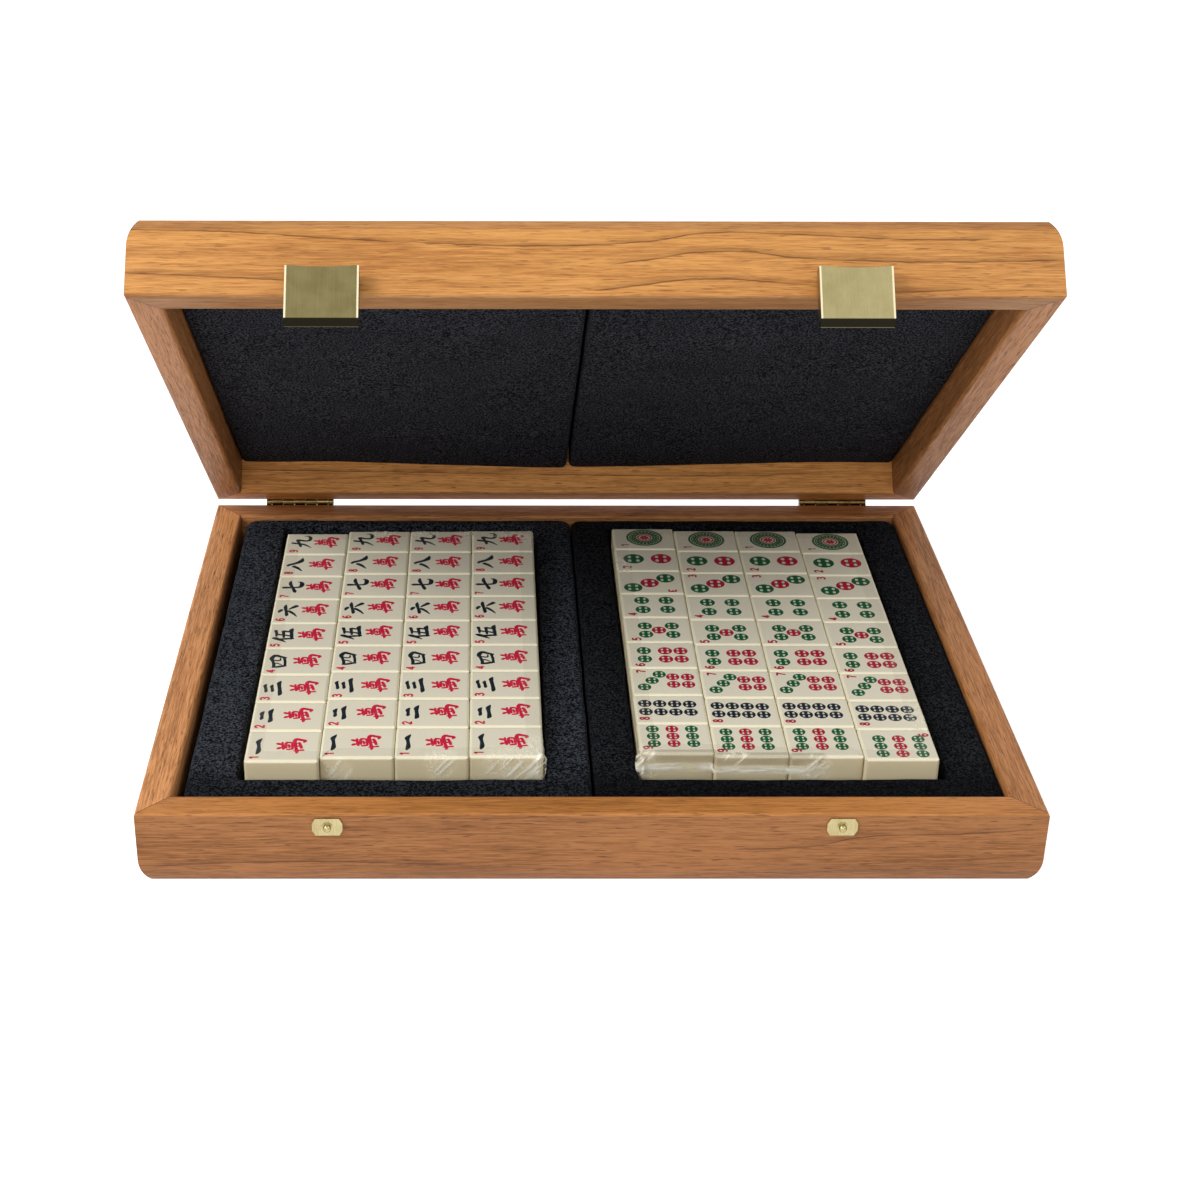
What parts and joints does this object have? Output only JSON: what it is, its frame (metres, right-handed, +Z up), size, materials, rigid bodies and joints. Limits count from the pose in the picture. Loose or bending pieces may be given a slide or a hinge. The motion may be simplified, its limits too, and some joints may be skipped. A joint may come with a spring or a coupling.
{
  "type": "mahjong case",
  "caption": "Open wooden mahjong case with a hinged padded lid, sprung brass clasps and foam trays that hold two film-wrapped blocks of tiles.",
  "frame": {"origin": "middle of the base's underside", "axes": "+X to the right along the front, +Y from the clasps at the front to the hinges at the back, +Z up"},
  "size_m": [0.36, 0.3077, 0.2444],
  "materials": {
    "wall_wood": "satin",
    "panel_wood": "satin",
    "foam": "matte",
    "tile": "gloss",
    "film": "gloss",
    "spring_brass": "satin",
    "brass": "satin"
  },
  "bodies": {
    "base": {"base_front_wall": "wall_wood", "base_back_wall": "wall_wood", "base_left_wall": "wall_wood", "base_right_wall": "wall_wood", "base_floor_panel": "panel_wood", "left_foam_tray": "foam", "right_foam_tray": "foam", "character_rank_1": "tile", "character_rank_2": "tile", "character_rank_3": "tile", "character_rank_4": "tile", "character_rank_5": "tile", "character_rank_6": "tile", "character_rank_7": "tile", "character_rank_8": "tile", "character_rank_9": "tile", "circle_rank_1": "tile", "circle_rank_2": "tile", "circle_rank_3": "tile", "circle_rank_4": "tile", "circle_rank_5": "tile", "circle_rank_6": "tile", "circle_rank_7": "tile", "circle_rank_8": "tile", "circle_rank_9": "tile", "bamboo_tiles": "tile", "wind_tiles": "tile", "dragon_tiles": "tile", "flower_tiles": "tile", "left_film": "film", "right_film": "film", "left_hinge_base_leaf": "brass", "right_hinge_base_leaf": "brass", "left_hinge_pin": "brass", "right_hinge_pin": "brass", "base_hinge_screws": "brass", "left_keeper": "brass", "right_keeper": "brass", "left_ball_stud": "brass", "right_ball_stud": "brass", "keeper_nails": "brass"},
    "lid": {"lid_front_wall": "wall_wood", "lid_back_wall": "wall_wood", "lid_left_wall": "wall_wood", "lid_right_wall": "wall_wood", "lid_top_panel": "panel_wood", "left_lid_pad": "foam", "right_lid_pad": "foam", "left_hinge_lid_leaf": "brass", "right_hinge_lid_leaf": "brass", "lid_hinge_screws": "brass", "left_clasp_bracket": "brass", "right_clasp_bracket": "brass", "clasp_screws": "brass", "left_clasp_pin": "brass", "right_clasp_pin": "brass"},
    "left_clasp": {"left_clasp_cover": "brass", "left_catch_spring": "spring_brass"},
    "right_clasp": {"right_clasp_cover": "brass", "right_catch_spring": "spring_brass"}
  },
  "joints": [
    {"name": "lid_hinge", "type": "hinge", "parent": "base", "child": "lid", "pos_m": [0, 0.1454, 0.0337], "axis": [-1, 0, 0], "range_deg": [-40.8, 139.2]},
    {"name": "left_clasp_hinge", "type": "hinge", "parent": "lid", "child": "left_clasp", "pos_m": [-0.1042, -0.07004, 0.23023], "axis": [-1, 0, 0], "range_deg": [0, 105]},
    {"name": "right_clasp_hinge", "type": "hinge", "parent": "lid", "child": "right_clasp", "pos_m": [0.0986, -0.07004, 0.23023], "axis": [-1, 0, 0], "range_deg": [0, 105]}
  ]
}
